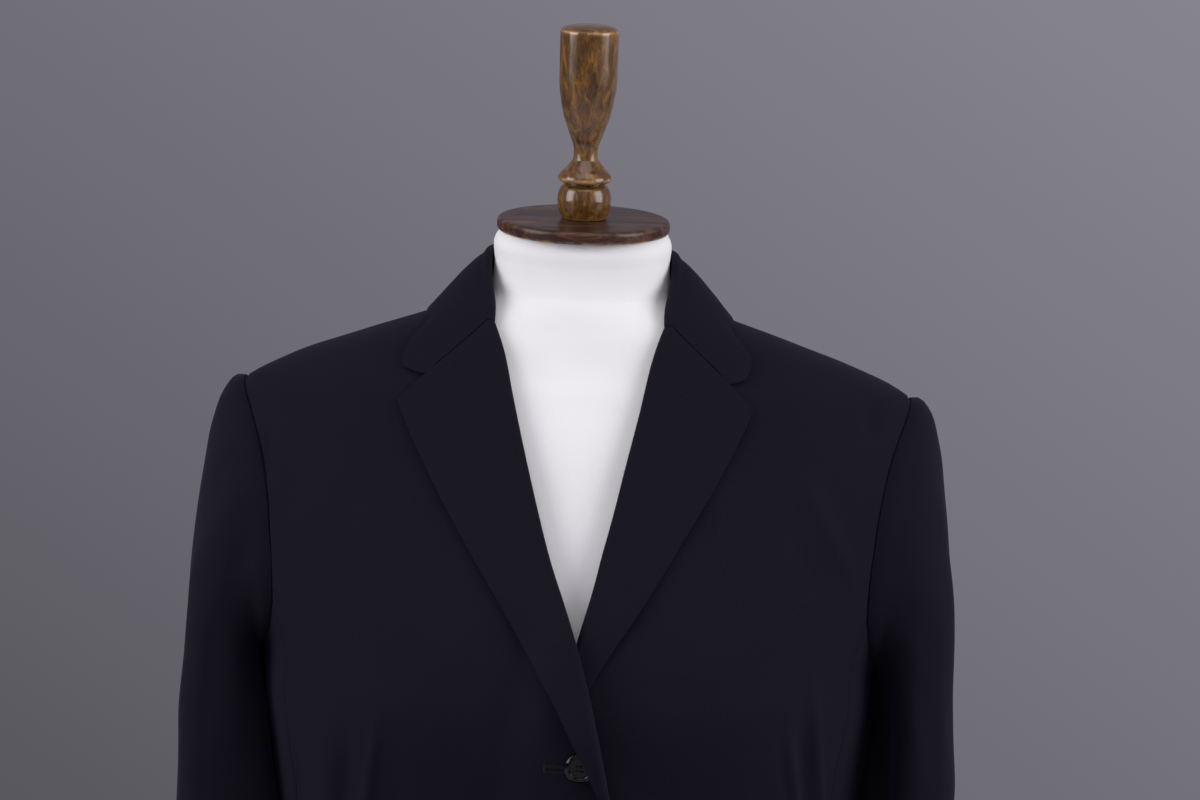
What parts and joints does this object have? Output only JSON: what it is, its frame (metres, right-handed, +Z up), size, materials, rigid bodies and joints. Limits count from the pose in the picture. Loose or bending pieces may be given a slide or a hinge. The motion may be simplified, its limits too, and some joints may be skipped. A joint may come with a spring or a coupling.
{
  "type": "single breasted blazer on a dress form",
  "caption": "Women's blazer with notch lapels and a single row of buttons, done up at the top one, on a jersey covered dress form with a turned wood neck cap, finial and round foot.",
  "frame": {"origin": "centre of the round foot's underside, on the floor", "axes": "+Z up, the front of the garment towards -Y, the wearer's left towards +X"},
  "size_m": [0.4922, 0.34, 1.2722],
  "materials": {
    "suiting": "matt near-black navy wool suiting with a faint sheen",
    "jersey": "white cotton jersey, stretched smooth",
    "walnut": "turned walnut under satin varnish",
    "button": "polished near-black polyester resin",
    "pole": "brushed steel tube"
  },
  "bodies": {
    "root": {"front_right": "suiting", "front_left": "suiting", "side_right": "suiting", "side_left": "suiting", "back_right": "suiting", "back_left": "suiting", "top_sleeve_right": "suiting", "under_sleeve_right": "suiting", "top_sleeve_left": "suiting", "under_sleeve_left": "suiting", "lapel_right": "suiting", "lapel_left": "suiting", "collar": "suiting", "button_1": "button", "button_2": "button", "button_3": "button", "dress_form": "jersey", "neck_cap": "walnut", "finial": "walnut", "base": "walnut", "pole": "pole"}
  },
  "joints": []
}
